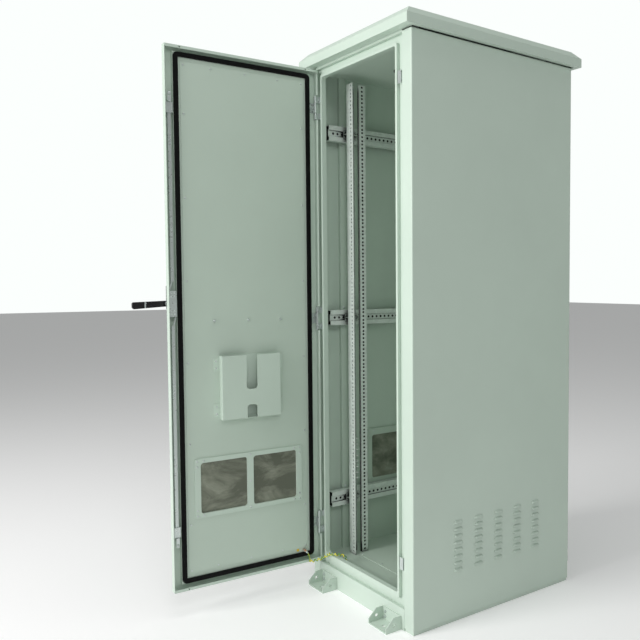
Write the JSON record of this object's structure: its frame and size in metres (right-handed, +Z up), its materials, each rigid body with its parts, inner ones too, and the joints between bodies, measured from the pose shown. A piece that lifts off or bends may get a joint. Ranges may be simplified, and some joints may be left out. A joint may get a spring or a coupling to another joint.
{
  "type": "roadside utility cabinet",
  "caption": "Pale green-grey outdoor equipment cabinet, front door open on its left hinges, rack rails inside, louvred side and sloped-edge roof.",
  "frame": {"origin": "on the ground, at the centre of the four anchor holes", "axes": "+X to the right seen from the front, +Y into the cabinet, +Z up"},
  "size_m": [0.7282, 1.5017, 2.074],
  "materials": {
    "paint_outside": "orange-peel powder coat",
    "paint_inside": "orange-peel powder coat",
    "zinc": "bright zinc plate",
    "galvanised": "galvanised sheet",
    "black_plastic": "satin",
    "gasket_rubber": "foam seal",
    "filter_media": "woven mesh",
    "copper": "bare",
    "wire_insulation": "green and yellow",
    "marker_yellow": "smooth"
  },
  "bodies": {
    "cabinet": {"left_side_panel": "paint_outside", "right_side_panel": "paint_outside", "rear_panel": "paint_outside", "front_frame": "paint_outside", "ceiling_plate": "paint_outside", "roof": "paint_outside", "plinth": "paint_outside", "foot_front_left": "paint_outside", "foot_front_right": "paint_outside", "foot_rear_left": "paint_outside", "foot_rear_right": "paint_outside", "floor_plate": "paint_inside", "floor_cover": "paint_inside", "wall_posts_left": "paint_inside", "wall_posts_right": "paint_inside", "wall_filter_frame": "paint_inside", "braces_left": "galvanised", "braces_right": "galvanised", "rack_rail_left": "galvanised", "rack_rail_right": "galvanised", "depth_rail_left": "galvanised", "depth_rail_right": "galvanised", "rail_brackets": "galvanised", "roof_spacers": "galvanised", "case_screws": "zinc", "foot_bolts": "zinc", "brace_screws": "zinc", "wall_filter_screws": "zinc", "keepers": "zinc", "hinge_pins": "zinc", "floor_earth_lug": "zinc", "hinge_frame_leaves": "zinc", "ceiling_gland": "black_plastic", "wall_filter_mesh": "filter_media", "floor_earth_stud": "copper", "earth_wire": "wire_insulation"},
    "door": {"door_shell": "paint_outside", "door_inner_panel": "paint_inside", "door_gasket": "gasket_rubber", "panel_rivets": "zinc", "panel_studs": "zinc", "document_pocket": "paint_outside", "door_filter_frame": "paint_outside", "door_filter_mesh": "filter_media", "hinge_door_leaves": "zinc", "handle_plate": "black_plastic", "lock_gearbox": "zinc", "rod_guides": "zinc", "door_earth_stud": "copper", "door_earth_lug": "zinc", "earth_marker": "marker_yellow"},
    "lock": {"lock_spindle": "zinc", "lock_pinion": "zinc", "handle_pin": "zinc"},
    "handle": {"handle_lever": "black_plastic", "handle_band": "zinc"},
    "upper_rod": {"upper_rod": "zinc"},
    "lower_rod": {"lower_rod": "zinc"},
    "upper_roller": {"upper_roller": "zinc"},
    "lower_roller": {"lower_roller": "zinc"}
  },
  "joints": [
    {"name": "door_hinge", "type": "hinge", "parent": "cabinet", "child": "door", "pos_m": [-0.281, -0.388, 1.0465], "axis": [0, 0, 1], "range_deg": [-7, 93], "deforming": ["earth_wire"]},
    {"name": "handle_turn", "type": "hinge", "parent": "door", "child": "lock", "pos_m": [-0.32384, -0.93801, 1.1135], "axis": [-0.9986, 0.0523, 0], "range_deg": [0, 93]},
    {"name": "handle_lift", "type": "hinge", "parent": "lock", "child": "handle", "pos_m": [-0.35249, -0.9305, 1.1135], "axis": [0, 0, -1], "range_deg": [0, 20]},
    {"name": "upper_rod_slide", "type": "slide", "parent": "door", "child": "upper_rod", "axis": [0, 0, 1], "range_m": [0, 0.013]},
    {"name": "lower_rod_slide", "type": "slide", "parent": "door", "child": "lower_rod", "axis": [0, 0, -1], "range_m": [0, 0.013]},
    {"name": "upper_roller_spin", "type": "hinge", "parent": "upper_rod", "child": "upper_roller", "pos_m": [-0.29488, -0.93953, 1.835], "axis": [-0.0523, -0.9986, 0], "continuous": true},
    {"name": "lower_roller_spin", "type": "hinge", "parent": "lower_rod", "child": "lower_roller", "pos_m": [-0.29488, -0.93953, 0.259], "axis": [-0.0523, -0.9986, 0], "continuous": true}
  ],
  "couplings": [
    {"joint": "upper_rod_slide", "follows": "handle_turn", "m_per_rad": 0.008},
    {"joint": "lower_rod_slide", "follows": "handle_turn", "m_per_rad": 0.008}
  ]
}
